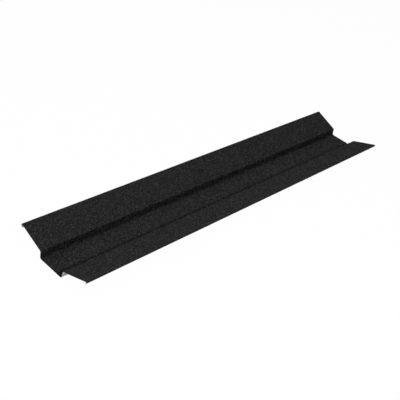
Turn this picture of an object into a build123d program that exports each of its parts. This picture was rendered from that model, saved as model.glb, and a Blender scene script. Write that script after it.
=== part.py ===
"""Valley cover strip: one length of granule-coated steel sheet, folded into a trough with two sloping wings."""

import os

from build123d import *

# Sheet, in millimetres
length = 1250.0
sheet_thickness = 1.8  # steel, primer and granule coat together

# Flats across the section, each measured along the underside between its two bends
floor_flat = 70.5
step_flat = 13.0
wing_flat = 78.5
hem_flat = 7.0

# Folds, in degrees: the step and the wing above the level floor, the hem back under the wing
step_angle = 84.0
wing_slope = 20.5
hem_fold = 147.0

# Inside radii of the folds
bend_radius = 4.2
hem_radius = 1.5

# The strip lies on its floor, centred on the origin, with its length along Y.
# Half of the section is followed along the underside, flat by flat and bend by bend, from the middle of the
# floor to the free edge of the hem. The underside is the outside of the bend between floor and step,
# and the inside of the other two.
with BuildPart() as valley_cover_strip:
    with BuildSketch(Plane.XZ) as section:
        with BuildLine() as underside:
            floor = Line((0, 0), (floor_flat / 2, 0))
            step_bend = JernArc(floor @ 1, floor % 1, bend_radius + sheet_thickness, step_angle)
            step = PolarLine(step_bend @ 1, step_flat, direction=step_bend % 1)
            wing_bend = JernArc(step @ 1, step % 1, bend_radius, wing_slope - step_angle)
            wing = PolarLine(wing_bend @ 1, wing_flat, direction=wing_bend % 1)
            hem_bend = JernArc(wing @ 1, wing % 1, hem_radius, -hem_fold)
            hem = PolarLine(hem_bend @ 1, hem_flat, direction=hem_bend % 1)
            offset(amount=sheet_thickness, side=Side.LEFT)
        make_face()
        mirror(about=Plane.YZ)
    extrude(amount=length / 2, both=True)

os.makedirs("parts", exist_ok=True)
valley_cover_strip.part.label = "valley_cover_strip"
export_step(valley_cover_strip.part, "parts/valley_cover_strip.step")
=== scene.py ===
"""Valley cover strip: a blank of steel sheet is folded, coated with black stone granules and softly lit."""

import math

import bpy
from mathutils import Matrix, Quaternion, Vector


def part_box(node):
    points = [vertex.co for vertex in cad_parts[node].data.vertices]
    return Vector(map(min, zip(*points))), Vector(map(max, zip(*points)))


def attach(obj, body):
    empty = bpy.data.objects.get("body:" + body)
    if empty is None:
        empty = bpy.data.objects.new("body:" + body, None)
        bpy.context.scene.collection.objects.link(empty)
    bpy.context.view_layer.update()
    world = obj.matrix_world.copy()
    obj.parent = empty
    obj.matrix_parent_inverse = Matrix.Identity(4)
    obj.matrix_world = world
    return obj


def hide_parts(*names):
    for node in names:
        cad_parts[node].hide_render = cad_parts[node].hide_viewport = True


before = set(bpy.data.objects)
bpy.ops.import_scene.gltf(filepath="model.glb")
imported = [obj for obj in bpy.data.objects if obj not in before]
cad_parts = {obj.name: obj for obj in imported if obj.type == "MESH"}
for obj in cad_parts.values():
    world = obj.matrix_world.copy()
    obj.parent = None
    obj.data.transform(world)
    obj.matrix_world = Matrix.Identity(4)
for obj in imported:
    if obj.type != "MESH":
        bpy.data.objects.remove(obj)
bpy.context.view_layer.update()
strip_low, strip_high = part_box("valley_cover_strip")

MM = 0.001

# The folded sheet, with the sizes that its solid has
LENGTH = strip_high.y - strip_low.y
SHEET_THICKNESS = 1.8 * MM
FLOOR_FLAT = 70.5 * MM
STEP_FLAT = 13.0 * MM
WING_FLAT = 78.5 * MM
HEM_FLAT = 7.0 * MM
STEP_ANGLE = math.radians(84.0)
WING_SLOPE = math.radians(20.5)
HEM_FOLD = math.radians(147.0)
BEND_RADIUS = 4.2 * MM
HEM_RADIUS = 1.5 * MM

# Folds on half of the blank: each starts this far from the centreline and rolls the underside to its radius
STEP_RADIUS = BEND_RADIUS + SHEET_THICKNESS
WING_TURN = WING_SLOPE - STEP_ANGLE
STEP_STARTS = FLOOR_FLAT / 2
STEP_ENDS = STEP_STARTS + STEP_RADIUS * STEP_ANGLE
WING_STARTS = STEP_ENDS + STEP_FLAT
WING_ENDS = WING_STARTS + BEND_RADIUS * abs(WING_TURN)
HEM_STARTS = WING_ENDS + WING_FLAT
HEM_ENDS = HEM_STARTS + HEM_RADIUS * HEM_FOLD
FREE_EDGE = HEM_ENDS + HEM_FLAT
FOLDS = ("Hem", "Wing", "Step")
FOLD_SIZES = ("Starts", "Radius", "Angle")

# How finely the blank is divided, at what angle an edge is sharp, and how near its points are merged
BEND_DIVISIONS = 10
FLAT_DIVISIONS = 4
LENGTH_DIVISIONS = 50
SHARP_EDGE = math.radians(40)
MERGE_DISTANCE = 0.001 * MM

# The bed of steel and black binder, under granules that fill the rest of the sheet's thickness
BED_THICKNESS = 1.1 * MM
GRAIN_SPACING = 1.55 * MM
GRAINS_TRIED_PER_M2 = 1_600_000
GRAIN_WIDTH = 2.3 * MM
GRAIN_RISE = 0.48 * MM
GRAIN_SINK = 0.18 * MM
COAT_SEED = 41

# Granules differ: skew as a share of their size, tilt in radians, and shares of the full width and depth
GRAIN_SHAPES = 6
LEAST_SKEW, MOST_SKEW = (-0.2, -0.2, -0.1), (0.2, 0.2, 0.0)
GRAIN_TILT = 0.16
LEAST_SIZE, MOST_SIZE = (0.72, 0.72, 0.55), (1.12, 1.12, 1.0)

# A granule's tone is partly its own, and otherwise that of the patch that it lies in
GRAIN_PATCH = 3.4 * MM
PATCH_LEVELS = (0.32, 0.68)
OWN_TONE_SHARE = 0.4

# Granules break away this far from the cut ends and free edges, and further where the edge is chipped
BARE_EDGE = 1.7 * MM
CHIPPED_EDGE = 2.4 * MM
CHIP_SIZE = 9 * MM
CHIP_LEVELS = (0.5, 0.7)

# Greys of the coat from dark to light, with the size of its flecks and what tones are shifted by
BINDER_GREYS, BINDER_FLECK = (0.006, 0.026), 0.9 * MM
RIM_GREYS, RIM_FLECK = (0.006, 0.03), 0.8 * MM
STONE_GREYS, STONE_FLECK = (0.005, 0.083), 0.7 * MM
STONE_SHIFTS = (-0.42, 0.45)
STONE_SKEW = 1.6
FLECK_LEVELS = (0.35, 1.0)
CLOUD_SCALE = 0.06
CLOUD_DEPTH = 0.35

# Painted shade: grey taken from the coat on the steps, and from a strip along the right step's foot
PAINTED_STEP_SHADE = 0.013
PAINTED_SHADE_CREST_SHARE = 0.65
PAINTED_FOOT_SHADE = 0.006
PAINTED_FOOT_SHADE_WIDTH = 20.0 * MM
PAINTED_FOOT_SHADE_BLEND = 0.3
PAINTED_FOOT_SHADE_FADE = 300.0 * MM
FOOT_MARGIN = 2 * MM

# The pale back coat and the steel core, which takes a share of the rim's depth and is smeared over
PRIMER = (0.56, 0.578, 0.572, 1.0)
SMUDGED_PRIMER = (0.47, 0.482, 0.476, 1.0)
RUBBED_PRIMER = (0.62, 0.632, 0.632, 1.0)
PRIMER_ROUGHNESS, RUBBED_ROUGHNESS = 0.55, 0.42
STEEL = (0.4, 0.41, 0.41, 1.0)
CORE_SHARE = 0.42
CORE_SMEAR = 0.12
SMUDGE_LEVELS = (0.42, 0.72)
RUB_LEVELS = (0.45, 0.75)
RUB_STRETCH = 0.02

# Camera, at the photograph's angle
CAMERA_PLACE = Vector((0.98848, -1.52782, 1.18059))
CAMERA_AIM = Vector((0.01675, -0.13336, 0.03))
CAMERA_ROLL = math.radians(15.209)
CAMERA_LENS = 67.189
CAMERA_SENSOR = 36.0

# Light: an even dome, and lamps at a place, with a length along the strip, a width across it and a power
DOME_LIGHT = 0.06
LAMPS = {
    "overhead_softbox": (Vector((0.0, -0.15, 2.6)), 2.6, 1.8, 29.5),
    "left_softbox": (Vector((-2.2, -2.0, 1.5)), 1.3, 1.4, 27.0),
    "right_strip_light": (Vector((1.9, -1.05, 1.72)), 2.7, 0.45, 36.0),
}

# The floor lies just under the strip, and is seen as white but for a trace of its shading
FLOOR_SIZE = 14.0
FLOOR_GAP = 0.2 * MM
FLOOR_GREY = 0.95
FLOOR_WHITENING = 0.98


# Node trees

def open_socket(sockets, key):
    """The socket at a place, or the one in use with a name."""
    if isinstance(key, int):
        return sockets[key]
    return next(socket for socket in sockets if socket.name == key and socket.enabled)


def add(tree, kind, sockets=None, **settings):
    """Adds a node, sets its options and gives each named socket a value or a link."""
    made = tree.nodes.new(kind)
    for name, value in settings.items():
        setattr(made, name, value)
    for key, value in (sockets or {}).items():
        socket = open_socket(made.inputs, key)
        if isinstance(value, bpy.types.NodeSocket):
            tree.links.new(value, socket)
        else:
            socket.default_value = value
    return made


def calc(tree, operation, *values):
    """One step of arithmetic."""
    return add(tree, "ShaderNodeMath", dict(enumerate(values)), operation=operation).outputs[0]


def vector(tree, operation, *values):
    """One step of arithmetic on vectors."""
    return add(tree, "ShaderNodeVectorMath", dict(enumerate(values)), operation=operation).outputs[0]


def spread(tree, value, low, high, at_low=0.0, at_high=1.0):
    """Carries a value from one range to another, and holds it at the ends."""
    made = add(
        tree, "ShaderNodeMapRange",
        {"Value": value, "From Min": low, "From Max": high, "To Min": at_low, "To Max": at_high},
    )
    return made.outputs["Result"]


def noise(tree, place, scale, detail, roughness=0.5):
    """A cloudy value from 0 to 1."""
    made = add(
        tree, "ShaderNodeTexNoise",
        {"Vector": place, "Scale": scale, "Detail": detail, "Roughness": roughness},
    )
    return made.outputs["Fac"]


def xyz(tree, **values):
    """A vector put together from some of its three values."""
    return add(tree, "ShaderNodeCombineXYZ", values).outputs[0]


def new_group(name, kind, inputs, outputs):
    """A node group with named sockets. Returns its tree, its input node and its output node."""
    tree = bpy.data.node_groups.new(name, kind)
    for label, socket_type in inputs:
        tree.interface.new_socket(label, in_out="INPUT", socket_type="NodeSocket" + socket_type)
    for label, socket_type in outputs:
        tree.interface.new_socket(label, in_out="OUTPUT", socket_type="NodeSocket" + socket_type)
    return tree, tree.nodes.new("NodeGroupInput"), tree.nodes.new("NodeGroupOutput")


def use_group(tree, group, sockets):
    """Places a node group in a tree."""
    kind = "GeometryNodeGroup" if tree.bl_idname == "GeometryNodeTree" else "ShaderNodeGroup"
    return add(tree, kind, sockets, node_tree=group)


def make_by_nodes(name, mesh, tree, values):
    """Runs a Geometry Nodes tree on a mesh with the values named, and keeps the result as a plain mesh."""
    piece = bpy.data.objects.new(name, mesh)
    bpy.context.scene.collection.objects.link(piece)
    modifier = piece.modifiers.new("shape", "NODES")
    modifier.node_group = tree
    for item in tree.interface.items_tree:
        if item.in_out == "INPUT" and item.name in values:
            modifier[item.identifier] = values[item.name]
    evaluated = piece.evaluated_get(bpy.context.evaluated_depsgraph_get())
    result = bpy.data.meshes.new_from_object(evaluated)
    piece.modifiers.remove(modifier)
    piece.data = result
    result.name = name
    return piece


# Colours

def grey(level):
    """An even grey as a colour."""
    return (level, level, level, 1.0)


def mix_colors(tree, share, first, second, **settings):
    """A share of the second colour in the first."""
    sockets = {"Factor": share, "A": first, "B": second}
    made = add(tree, "ShaderNodeMix", sockets, data_type="RGBA", **settings)
    return open_socket(made.outputs, "Result")


def object_place(tree):
    """Where a point of the surface lies on the strip."""
    return tree.nodes.new("ShaderNodeTexCoord").outputs["Object"]


# Effects that more than one finish uses

def mineral_speckle():
    """Uneven dark mineral: fine flecks on a cloudy tone, which also give the height of its rough surface."""
    tree, given, put = new_group(
        "mineral_speckle", "ShaderNodeTree",
        [("Dark", "Color"), ("Light", "Color")]
        + [(value, "Float") for value in ("Fleck Size", "Shift", "Skew")],
        [("Color", "Color"), ("Height", "Float")],
    )
    place = object_place(tree)
    scale = calc(tree, "DIVIDE", 1.0, given.outputs["Fleck Size"])
    fleck = noise(tree, place, scale, detail=3.0, roughness=0.6)
    cloud = noise(tree, place, calc(tree, "MULTIPLY", scale, CLOUD_SCALE), detail=2.0)
    tone = calc(tree, "MULTIPLY_ADD", cloud, CLOUD_DEPTH, fleck)
    shifted = calc(tree, "ADD", tone, given.outputs["Shift"])
    share = calc(tree, "POWER", spread(tree, shifted, *FLECK_LEVELS), given.outputs["Skew"])
    color = mix_colors(tree, share, given.outputs["Dark"], given.outputs["Light"])
    tree.links.new(color, put.inputs["Color"])
    tree.links.new(fleck, put.inputs["Height"])
    return tree


def handling_marks():
    """Faint smudges, and long rubs along the strip, that a sheet picks up in the shop."""
    tree, given, put = new_group(
        "handling_marks", "ShaderNodeTree",
        [("Smudge Size", "Float"), ("Rub Width", "Float")],
        [("Smudge", "Float"), ("Rub", "Float")],
    )
    place = object_place(tree)
    smudge = noise(tree, place, calc(tree, "DIVIDE", 1.0, given.outputs["Smudge Size"]), detail=4.0)
    stretched = add(tree, "ShaderNodeMapping", {"Vector": place, "Scale": (1.0, RUB_STRETCH, 1.0)}).outputs[0]
    rub = noise(tree, stretched, calc(tree, "DIVIDE", 1.0, given.outputs["Rub Width"]), detail=2.0)
    tree.links.new(spread(tree, smudge, *SMUDGE_LEVELS), put.inputs["Smudge"])
    tree.links.new(spread(tree, rub, *RUB_LEVELS), put.inputs["Rub"])
    return tree


def painted_shade():
    """Paints shade into the coat by darkening it: on both steps, and along the foot of the right one."""
    tree, given, put = new_group(
        "painted_shade", "ShaderNodeTree", [("Color", "Color"), ("Across", "Float")], [("Color", "Color")]
    )
    across = given.outputs["Across"]
    ramp = add(tree, "ShaderNodeValToRGB", {"Fac": spread(tree, across, -FREE_EDGE, FREE_EDGE)})
    crest = WING_STARTS + (WING_ENDS - WING_STARTS) * PAINTED_SHADE_CREST_SHARE
    foot = STEP_STARTS - FOOT_MARGIN
    foot_starts = STEP_STARTS - PAINTED_FOOT_SHADE_WIDTH
    foot_blended = foot_starts + PAINTED_FOOT_SHADE_WIDTH * PAINTED_FOOT_SHADE_BLEND
    shade_stops = (
        (-crest, 0.0), (-WING_STARTS, PAINTED_STEP_SHADE), (-STEP_ENDS, PAINTED_STEP_SHADE), (-foot, 0.0),
        (foot_starts, 0.0), (foot_blended, PAINTED_FOOT_SHADE), (foot, PAINTED_FOOT_SHADE),
        (STEP_ENDS, PAINTED_STEP_SHADE), (WING_STARTS, PAINTED_STEP_SHADE), (crest, 0.0),
    )
    stops = ramp.color_ramp.elements
    while len(stops) < len(shade_stops):
        stops.new(0.5)
    for stop, (station, shade_depth) in zip(stops, shade_stops):
        stop.position = (station / FREE_EDGE + 1) / 2
        stop.color = grey(shade_depth)

    # The painted shade on the right fades out towards the far end
    along = add(tree, "ShaderNodeSeparateXYZ", {0: object_place(tree)}).outputs["Y"]
    fading = spread(tree, along, LENGTH / 2 - PAINTED_FOOT_SHADE_FADE, LENGTH / 2)
    on_right = calc(tree, "GREATER_THAN", across, 0.0)
    shade_kept = calc(tree, "SUBTRACT", 1.0, calc(tree, "MULTIPLY", fading, on_right))
    # The painted shade is subtracted from the coat's colour
    adjusted = mix_colors(
        tree, shade_kept, given.outputs["Color"], ramp.outputs["Color"], blend_type="SUBTRACT", clamp_result=True
    )
    tree.links.new(adjusted, put.inputs["Color"])
    return tree


# Finishes

def new_finish(name, roughness, specular):
    """A node material with its one shader."""
    finish = bpy.data.materials.new(name)
    finish.use_nodes = True
    tree = finish.node_tree
    shader = tree.nodes["Principled BSDF"]
    shader.inputs["Roughness"].default_value = roughness
    shader.inputs["Specular IOR Level"].default_value = specular
    return finish, tree, shader


def rough_surface(tree, shader, height, depth, strength):
    """Bumps a finish by a height."""
    bump = add(tree, "ShaderNodeBump", {"Height": height, "Distance": depth, "Strength": strength})
    tree.links.new(bump.outputs["Normal"], shader.inputs["Normal"])


def use_speckle(tree, speckle, greys, fleck, shift=0.0, skew=1.0):
    """Places the mineral speckle in a finish, between a dark and a light grey."""
    dark, light = greys
    return use_group(
        tree, speckle,
        {"Dark": grey(dark), "Light": grey(light), "Fleck Size": fleck, "Shift": shift, "Skew": skew},
    )


def color_coat(tree, shader, shade_paint, color):
    """Colours a finish of the coat, darkened by painted shade on the steps and along the right step's foot.
    """
    across = add(tree, "ShaderNodeAttribute", attribute_name="across").outputs["Fac"]
    adjusted = use_group(tree, shade_paint, {"Color": color, "Across": across})
    tree.links.new(adjusted.outputs["Color"], shader.inputs["Base Color"])


def black_binder(speckle, shade_paint):
    """The bed of fine black grit and binder that shows between the granules."""
    finish, tree, shader = new_finish("black_binder", roughness=0.95, specular=0.04)
    grit = use_speckle(tree, speckle, BINDER_GREYS, BINDER_FLECK)
    color_coat(tree, shader, shade_paint, grit.outputs["Color"])
    rough_surface(tree, shader, grit.outputs["Height"], depth=0.3 * MM, strength=0.8)
    return finish


def black_stone(speckle, shade_paint):
    """Crushed black stone: each granule has its own tone, many nearly black and a few paler."""
    finish, tree, shader = new_finish("black_stone", roughness=0.9, specular=0.06)
    tone = add(tree, "ShaderNodeAttribute", attribute_name="tone").outputs["Fac"]
    shift = spread(tree, tone, 0.0, 1.0, *STONE_SHIFTS)
    stone = use_speckle(tree, speckle, STONE_GREYS, STONE_FLECK, shift, STONE_SKEW)
    color_coat(tree, shader, shade_paint, stone.outputs["Color"])
    rough_surface(tree, shader, stone.outputs["Height"], depth=0.12 * MM, strength=0.6)
    return finish


def back_coat(handling):
    """Thin pale grey primer on the underside, with faint smudges, and rubs that leave it smoother."""
    finish, tree, shader = new_finish("back_coat", roughness=PRIMER_ROUGHNESS, specular=0.4)
    wear = use_group(tree, handling, {"Smudge Size": 60 * MM, "Rub Width": 4 * MM})
    smudged = mix_colors(tree, wear.outputs["Smudge"], PRIMER, SMUDGED_PRIMER)
    adjusted = mix_colors(tree, wear.outputs["Rub"], smudged, RUBBED_PRIMER)
    smoothed = spread(tree, wear.outputs["Rub"], 0.0, 1.0, PRIMER_ROUGHNESS, RUBBED_ROUGHNESS)
    tree.links.new(adjusted, shader.inputs["Base Color"])
    tree.links.new(smoothed, shader.inputs["Roughness"])
    rough_surface(tree, shader, wear.outputs["Rub"], depth=0.05 * MM, strength=0.3)
    return finish


def cut_edge(handling, speckle):
    """The sheared rim: a pale line of steel core under the black coat, smeared here and there."""
    finish, tree, shader = new_finish("cut_edge", roughness=0.6, specular=0.3)
    wear = use_group(tree, handling, {"Smudge Size": 3 * MM, "Rub Width": 0.8 * MM})
    grit = use_speckle(tree, speckle, RIM_GREYS, RIM_FLECK)
    depth = add(tree, "ShaderNodeAttribute", attribute_name="depth").outputs["Fac"]
    smeared = calc(tree, "MULTIPLY_ADD", wear.outputs["Smudge"], CORE_SMEAR, depth)
    core = spread(tree, smeared, CORE_SHARE, CORE_SHARE + CORE_SMEAR, 1.0, 0.0)
    layered = mix_colors(tree, core, grit.outputs["Color"], STEEL)
    tree.links.new(layered, shader.inputs["Base Color"])
    rough_surface(tree, shader, grit.outputs["Height"], depth=0.1 * MM, strength=0.5)
    return finish


# Steps that both shapes are made with

def position(tree):
    """Where each point of a shape is."""
    return add(tree, "GeometryNodeInputPosition").outputs[0]


def named(tree, name, kind):
    """A value that a shape carries under a name."""
    made = add(tree, "GeometryNodeInputNamedAttribute", {"Name": name}, data_type=kind)
    return open_socket(made.outputs, "Attribute")


def store(tree, shape, name, value, kind, domain="POINT"):
    """Gives a shape a value to carry under a name."""
    made = add(
        tree, "GeometryNodeStoreNamedAttribute", {"Geometry": shape, "Name": name, "Value": value},
        data_type=kind, domain=domain,
    )
    return made.outputs[0]


def set_finish(tree, shape, finish, faces=True):
    """Gives faces of a shape a finish."""
    made = add(tree, "GeometryNodeSetMaterial", {"Geometry": shape, "Selection": faces, "Material": finish})
    return made.outputs[0]


# The folded sheet

def blank_stations():
    """Distances across the blank at which it is divided: evenly in the flats, finely in the bends."""
    half = [0.0]
    for end, divisions in (
        (STEP_STARTS, FLAT_DIVISIONS), (STEP_ENDS, BEND_DIVISIONS),
        (WING_STARTS, FLAT_DIVISIONS), (WING_ENDS, BEND_DIVISIONS),
        (HEM_STARTS, FLAT_DIVISIONS), (HEM_ENDS, BEND_DIVISIONS),
        (FREE_EDGE, FLAT_DIVISIONS),
    ):
        start = half[-1]
        half += [start + (end - start) * (step + 1) / divisions for step in range(divisions)]
    return [-station for station in reversed(half[1:])] + half


def flat_blank():
    """The sheet as it is cut, before it is folded."""
    stations = blank_stations()
    rows = LENGTH_DIVISIONS + 1
    points = [
        (station, LENGTH * (row / LENGTH_DIVISIONS - 0.5), 0.0) for station in stations for row in range(rows)
    ]
    faces = [
        (first, first + rows, first + rows + 1, first + 1)
        for column in range(len(stations) - 1)
        for first in range(column * rows, column * rows + rows - 1)
    ]
    blank = bpy.data.meshes.new("blank")
    blank.from_pydata(points, [], faces)
    return blank


def fold_line():
    """Rolls what lies past a line round a bend, and turns the rest with it."""
    tree, given, put = new_group(
        "fold_line", "GeometryNodeTree",
        [("Position", "Vector"), ("Across", "Float")] + [(size, "Float") for size in FOLD_SIZES],
        [("Position", "Vector")],
    )
    starts, angle = given.outputs["Starts"], given.outputs["Angle"]
    radius = calc(tree, "MULTIPLY", given.outputs["Radius"], calc(tree, "SIGN", angle))
    ends = calc(tree, "MULTIPLY_ADD", radius, angle, starts)
    turn = spread(tree, given.outputs["Across"], starts, ends, 0.0, angle)
    flat_x = calc(tree, "MULTIPLY_ADD", radius, turn, starts)
    bent_x = calc(tree, "MULTIPLY_ADD", radius, calc(tree, "SINE", turn), starts)
    bent_z = calc(tree, "SUBTRACT", radius, calc(tree, "MULTIPLY", radius, calc(tree, "COSINE", turn)))
    past = vector(tree, "SUBTRACT", given.outputs["Position"], xyz(tree, X=flat_x))
    turned = add(
        tree, "ShaderNodeVectorRotate", {"Vector": past, "Angle": calc(tree, "MULTIPLY", turn, -1.0)},
        rotation_type="Y_AXIS",
    ).outputs[0]
    bent = vector(tree, "ADD", xyz(tree, X=bent_x, Z=bent_z), turned)
    tree.links.new(bent, put.inputs["Position"])
    return tree


def folded_place(tree, given, flat):
    """Where the blank's points go when hems, then wings, then steps are folded, alike on both sides."""
    fold = fold_line()
    across = calc(tree, "ABSOLUTE", flat.outputs["X"])
    place = xyz(tree, X=across)
    for name in FOLDS:
        sizes = {size: given.outputs[f"{name} {size}"] for size in FOLD_SIZES}
        place = use_group(tree, fold, {"Position": place, "Across": across, **sizes}).outputs["Position"]
    folded = add(tree, "ShaderNodeSeparateXYZ", {0: place})
    side = calc(tree, "SIGN", flat.outputs["X"])
    folded_x = calc(tree, "MULTIPLY", folded.outputs["X"], side)
    return xyz(tree, X=folded_x, Y=flat.outputs["Y"], Z=folded.outputs["Z"])


def thicken(tree, back, thickness):
    """Makes a closed sheet on its back face, with its depth, coated top and rim marked."""
    thick = add(
        tree, "GeometryNodeExtrudeMesh", {"Mesh": back, "Offset Scale": thickness, "Individual": False},
        mode="FACES",
    )
    shell = store(tree, thick.outputs["Mesh"], "depth", thick.outputs["Top"], "FLOAT")
    shell = store(tree, shell, "coated", thick.outputs["Top"], "BOOLEAN", "FACE")
    shell = store(tree, shell, "rim", thick.outputs["Side"], "BOOLEAN", "FACE")
    joined = tree.nodes.new("GeometryNodeJoinGeometry")
    tree.links.new(add(tree, "GeometryNodeFlipFaces", {"Mesh": back}).outputs[0], joined.inputs[0])
    tree.links.new(shell, joined.inputs[0])
    closed = add(
        tree, "GeometryNodeMergeByDistance", {"Geometry": joined.outputs[0], "Distance": MERGE_DISTANCE}
    )
    return closed.outputs[0]


def fold_blank():
    """Folds a blank and gives it its thickness and finishes."""
    tree, given, put = new_group(
        "fold_blank", "GeometryNodeTree",
        [("Geometry", "Geometry")]
        + [(f"{name} {size}", "Float") for name in FOLDS for size in FOLD_SIZES]
        + [("Bed Thickness", "Float")]
        + [(f"{face} Finish", "Material") for face in ("Top", "Back", "Rim")],
        [("Geometry", "Geometry")],
    )
    flat = add(tree, "ShaderNodeSeparateXYZ", {0: position(tree)})
    blank = store(tree, given.outputs["Geometry"], "across", flat.outputs["X"], "FLOAT")
    back = add(
        tree, "GeometryNodeSetPosition", {"Geometry": blank, "Position": folded_place(tree, given, flat)}
    ).outputs[0]
    closed = thicken(tree, back, given.outputs["Bed Thickness"])
    shape = add(tree, "GeometryNodeRealizeInstances", {"Geometry": closed}).outputs[0]
    shape = set_finish(tree, shape, given.outputs["Back Finish"])
    shape = set_finish(tree, shape, given.outputs["Top Finish"], named(tree, "coated", "BOOLEAN"))
    shape = set_finish(tree, shape, given.outputs["Rim Finish"], named(tree, "rim", "BOOLEAN"))
    tree.links.new(shape, put.inputs["Geometry"])
    return tree


# The granule coat

def random_between(tree, low, high, seed, kind="FLOAT_VECTOR"):
    """A value of its own for each point or granule."""
    made = add(tree, "FunctionNodeRandomValue", {"Min": low, "Max": high, "Seed": seed}, data_type=kind)
    return open_socket(made.outputs, "Value")


def grain_shapes(tree):
    """A few irregular granules: skewed four-sided points, which keep their unskewed places for the map."""
    shapes = tree.nodes.new("GeometryNodeJoinGeometry")
    for number in range(GRAIN_SHAPES):
        point = add(
            tree, "GeometryNodeMeshCone",
            {"Vertices": 4, "Side Segments": 1, "Fill Segments": 1, "Radius Top": 0.0, "Radius Bottom": 0.5,
             "Depth": 1.0},
        )
        marked = store(tree, point.outputs["Mesh"], "grain_place", position(tree), "FLOAT_VECTOR")
        skew = random_between(tree, LEAST_SKEW, MOST_SKEW, COAT_SEED + number)
        uneven = add(tree, "GeometryNodeSetPosition", {"Geometry": marked, "Offset": skew})
        whole = add(tree, "GeometryNodeGeometryToInstance", {0: uneven.outputs[0]})
        tree.links.new(whole.outputs[0], shapes.inputs[0])
    return shapes.outputs[0]


def broken_away(tree, given, across, along):
    """1 at granules that have come off, along the cut ends and the free edges of the hems."""
    half_length = calc(tree, "MULTIPLY", given.outputs["Length"], 0.5)
    to_end = calc(tree, "SUBTRACT", half_length, calc(tree, "ABSOLUTE", along))
    to_free = calc(tree, "SUBTRACT", given.outputs["Free Edge"], calc(tree, "ABSOLUTE", across))
    ragged = noise(tree, position(tree), 1 / CHIP_SIZE, detail=2.0)
    bare = spread(tree, ragged, *CHIP_LEVELS, given.outputs["Bare Edge"], given.outputs["Chipped Edge"])
    return calc(tree, "LESS_THAN", calc(tree, "MINIMUM", to_end, to_free), bare)


def grain_tone(tree, given):
    """How pale a granule is, from 0 to 1."""
    own = random_between(tree, 0.0, 1.0, given.outputs["Seed"], "FLOAT")
    patch_scale = calc(tree, "DIVIDE", 1.0, given.outputs["Grain Patch"])
    patch = spread(tree, noise(tree, position(tree), patch_scale, detail=1.0), *PATCH_LEVELS)
    tone = add(tree, "ShaderNodeMix", {"Factor": OWN_TONE_SHARE, "A": patch, "B": own}, data_type="FLOAT")
    return open_socket(tone.outputs, "Result")


def grain_turn(tree, given, level):
    """How a granule is turned and tilted from lying level on the sheet."""
    seed = calc(tree, "ADD", given.outputs["Seed"], 1)
    turn = random_between(tree, (-GRAIN_TILT, -GRAIN_TILT, 0.0), (GRAIN_TILT, GRAIN_TILT, math.tau), seed)
    turned = add(
        tree, "FunctionNodeRotateRotation",
        {"Rotation": level, "Rotate By": add(tree, "FunctionNodeEulerToRotation", {0: turn}).outputs[0]},
        rotation_space="LOCAL",
    )
    return turned.outputs[0]


def grain_size(tree, given):
    """How wide and deep a granule is."""
    seed = calc(tree, "ADD", given.outputs["Seed"], 2)
    width = given.outputs["Grain Width"]
    depth = calc(tree, "ADD", given.outputs["Grain Rise"], given.outputs["Grain Sink"])
    share = random_between(tree, LEAST_SIZE, MOST_SIZE, seed)
    return vector(tree, "MULTIPLY", share, xyz(tree, X=width, Y=width, Z=depth))


def grain_map(tree, given, across):
    """A map of the panel, its length cut into columns, with each granule laid at its own place."""
    length, columns = given.outputs["Length"], given.outputs["Map Columns"]
    margin = given.outputs["Grain Width"]
    in_grain = add(
        tree, "ShaderNodeVectorMath", {0: named(tree, "grain_place", "FLOAT_VECTOR"), "Scale": margin},
        operation="SCALE",
    )
    offset = add(tree, "ShaderNodeSeparateXYZ", {0: in_grain.outputs[0]})
    column_length = calc(tree, "DIVIDE", length, columns)
    from_end = calc(tree, "MULTIPLY_ADD", length, 0.5, named(tree, "along", "FLOAT"))
    columns_along = calc(tree, "DIVIDE", from_end, column_length)
    column = calc(tree, "FLOOR", columns_along)
    in_column = calc(tree, "MULTIPLY", calc(tree, "FRACT", columns_along), column_length)
    from_side = calc(tree, "SUBTRACT", across, given.outputs["From"])
    panel_width = calc(tree, "SUBTRACT", given.outputs["To"], given.outputs["From"])

    # Each column has a margin of one granule all round
    map_x = calc(tree, "ADD", calc(tree, "ADD", from_side, offset.outputs["X"]), margin)
    map_y = calc(tree, "ADD", calc(tree, "ADD", in_column, offset.outputs["Y"]), margin)
    share_x = calc(tree, "DIVIDE", map_x, calc(tree, "MULTIPLY_ADD", margin, 2.0, panel_width))
    map_u = calc(tree, "DIVIDE", calc(tree, "ADD", column, share_x), columns)
    map_v = calc(tree, "DIVIDE", map_y, calc(tree, "MULTIPLY_ADD", margin, 2.0, column_length))
    return xyz(tree, X=map_u, Y=map_v)


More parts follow.
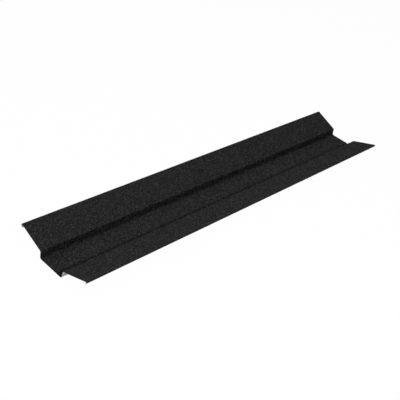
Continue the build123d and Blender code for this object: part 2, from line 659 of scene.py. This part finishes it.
def coat_panel():
    """Beds granules close together on one panel of the sheet."""
    sizes = (
        "From", "To", "Length", "Free Edge", "Spacing", "Tried Density", "Grain Width", "Grain Rise",
        "Grain Sink", "Grain Patch", "Bare Edge", "Chipped Edge", "Map Columns",
    )
    tree, given, put = new_group(
        "coat_panel", "GeometryNodeTree",
        [("Geometry", "Geometry")]
        + [(size, "Float") for size in sizes]
        + [("Seed", "Int"), ("Finish", "Material")],
        [("Geometry", "Geometry")],
    )
    across = named(tree, "across", "FLOAT")
    along = add(tree, "ShaderNodeSeparateXYZ", {0: position(tree)}).outputs["Y"]
    past_from = calc(tree, "GREATER_THAN", across, given.outputs["From"])
    before_to = calc(tree, "LESS_THAN", across, given.outputs["To"])
    within = calc(tree, "MULTIPLY", past_from, before_to)
    spots = add(
        tree, "GeometryNodeDistributePointsOnFaces",
        {"Mesh": given.outputs["Geometry"],
         "Selection": calc(tree, "MULTIPLY", within, named(tree, "coated", "BOOLEAN")),
         "Distance Min": given.outputs["Spacing"], "Density Max": given.outputs["Tried Density"],
         "Seed": given.outputs["Seed"]},
        distribute_method="POISSON",
    )
    kept = add(
        tree, "GeometryNodeDeleteGeometry",
        {"Geometry": spots.outputs["Points"], "Selection": broken_away(tree, given, across, along)},
        domain="POINT",
    )
    toned = store(tree, kept.outputs[0], "tone", grain_tone(tree, given), "FLOAT")
    placed = store(tree, toned, "along", along, "FLOAT")
    grains = add(
        tree, "GeometryNodeInstanceOnPoints",
        {"Points": placed, "Instance": grain_shapes(tree), "Pick Instance": True,
         "Rotation": grain_turn(tree, given, spots.outputs["Rotation"]), "Scale": grain_size(tree, given)},
    )
    sink = xyz(tree, Z=calc(tree, "MULTIPLY", given.outputs["Grain Sink"], -1.0))
    sunk = add(
        tree, "GeometryNodeTranslateInstances",
        {"Instances": grains.outputs[0], "Translation": sink, "Local Space": True},
    )
    solid = add(tree, "GeometryNodeRealizeInstances", {"Geometry": sunk.outputs[0]})
    mapped = store(tree, solid.outputs[0], "OFBake", grain_map(tree, given, across), "FLOAT2", "CORNER")
    tree.links.new(set_finish(tree, mapped, given.outputs["Finish"]), put.inputs["Geometry"])
    return tree


def panel_spans():
    """Names of the coated panels, with where each starts and ends across the blank."""
    step_middle = (STEP_STARTS + STEP_ENDS) / 2
    wing_middle = (WING_STARTS + WING_ENDS) / 2
    hem_middle = (HEM_STARTS + HEM_ENDS) / 2
    panels = {"granules_floor": (-step_middle, step_middle)}
    for name, start, end in (
        ("step", step_middle, wing_middle), ("wing", wing_middle, hem_middle), ("hem", hem_middle, FREE_EDGE)
    ):
        panels[f"granules_left_{name}"] = (-end, -start)
        panels[f"granules_right_{name}"] = (start, end)
    return panels


# Stage

def seen_directly(tree):
    """1 where a ray comes from the camera, a reflection or glass, and 0 where it lights the strip."""
    path = tree.nodes.new("ShaderNodeLightPath")
    seen = calc(tree, "MAXIMUM", path.outputs["Is Camera Ray"], path.outputs["Is Glossy Ray"])
    return calc(tree, "MAXIMUM", seen, path.outputs["Is Transmission Ray"])


def white_floor():
    """A white floor that shows the strip's shadow softly."""
    half = FLOOR_SIZE / 2
    mesh = bpy.data.meshes.new("floor")
    corners = [(x, y, -FLOOR_GAP) for x, y in ((-half, -half), (half, -half), (half, half), (-half, half))]
    mesh.from_pydata(corners, [], [(0, 1, 2, 3)])
    floor = bpy.data.objects.new("floor", mesh)
    bpy.context.scene.collection.objects.link(floor)
    paper = bpy.data.materials.new("white_floor")
    paper.use_nodes = True
    tree = paper.node_tree
    tree.nodes.clear()
    whitening = calc(tree, "MULTIPLY", seen_directly(tree), FLOOR_WHITENING)
    matt = add(tree, "ShaderNodeBsdfDiffuse", {"Color": grey(FLOOR_GREY)})
    white = add(tree, "ShaderNodeEmission", {"Color": grey(1.0), "Strength": 1.0})
    mixed = add(tree, "ShaderNodeMixShader", {0: whitening, 1: matt.outputs[0], 2: white.outputs[0]})
    add(tree, "ShaderNodeOutputMaterial", {"Surface": mixed.outputs[0]})
    mesh.materials.append(paper)


def white_dome():
    """Even white light from all round, seen as white."""
    world = bpy.data.worlds.new("white_dome")
    world.use_nodes = True
    tree = world.node_tree
    shader = tree.nodes["Background"]
    shader.inputs["Color"].default_value = grey(1.0)
    strength = spread(tree, seen_directly(tree), 0.0, 1.0, DOME_LIGHT, 1.0)
    tree.links.new(strength, shader.inputs["Strength"])
    bpy.context.scene.world = world


def studio_lamp(name, place, length, width, power):
    """A flat lamp that faces the strip, with its long side along it."""
    lamp = bpy.data.lights.new(name, "AREA")
    lamp.shape = "RECTANGLE"
    lamp.size = width
    lamp.size_y = length
    lamp.energy = power
    made = bpy.data.objects.new(name, lamp)
    made.location = place
    along = Vector((0.0, 1.0, 0.0))
    outward = Vector((place.x, 0.0, place.z)).normalized()
    made.rotation_mode = "QUATERNION"
    made.rotation_quaternion = Matrix((along.cross(outward), along, outward)).transposed().to_quaternion()
    bpy.context.scene.collection.objects.link(made)


def camera():
    """The camera, rolled a little, as the photograph was taken."""
    lens = bpy.data.cameras.new("camera")
    lens.sensor_width = CAMERA_SENSOR
    lens.lens = CAMERA_LENS
    made = bpy.data.objects.new("camera", lens)
    made.location = CAMERA_PLACE
    made.rotation_mode = "QUATERNION"
    level = (CAMERA_AIM - CAMERA_PLACE).to_track_quat("-Z", "Y")
    made.rotation_quaternion = level @ Quaternion((0.0, 0.0, 1.0), CAMERA_ROLL)
    bpy.context.scene.collection.objects.link(made)
    bpy.context.scene.camera = made


# The strip
speckle = mineral_speckle()
handling = handling_marks()
# Painted shade, taken from the coat on the steps and along the right step's foot
shade_paint = painted_shade()
stone = black_stone(speckle, shade_paint)

sheet = make_by_nodes(
    "folded_sheet", flat_blank(), fold_blank(),
    {
        "Hem Starts": HEM_STARTS, "Hem Radius": HEM_RADIUS, "Hem Angle": -HEM_FOLD,
        "Wing Starts": WING_STARTS, "Wing Radius": BEND_RADIUS, "Wing Angle": WING_TURN,
        "Step Starts": STEP_STARTS, "Step Radius": STEP_RADIUS, "Step Angle": STEP_ANGLE,
        "Bed Thickness": BED_THICKNESS,
        "Top Finish": black_binder(speckle, shade_paint),
        "Back Finish": back_coat(handling),
        "Rim Finish": cut_edge(handling, speckle),
    },
)
sheet.data.shade_smooth()
sheet.data.set_sharp_from_angle(angle=SHARP_EDGE)
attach(sheet, "root")
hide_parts("valley_cover_strip")

coat = coat_panel()
for number, (name, (start, end)) in enumerate(panel_spans().items()):
    granules = make_by_nodes(
        name, sheet.data, coat,
        {
            "From": start, "To": end, "Length": LENGTH, "Free Edge": FREE_EDGE,
            "Spacing": GRAIN_SPACING, "Tried Density": GRAINS_TRIED_PER_M2,
            "Grain Width": GRAIN_WIDTH, "Grain Rise": GRAIN_RISE, "Grain Sink": GRAIN_SINK,
            "Grain Patch": GRAIN_PATCH, "Bare Edge": BARE_EDGE, "Chipped Edge": CHIPPED_EDGE,
            "Map Columns": float(round(math.sqrt(LENGTH / (end - start)))),
            "Seed": COAT_SEED + number, "Finish": stone,
        },
    )
    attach(granules, "root")

white_floor()
white_dome()
for name, (place, length, width, power) in LAMPS.items():
    studio_lamp(name, place, length, width, power)
camera()
bpy.context.scene.view_settings.view_transform = "Standard"
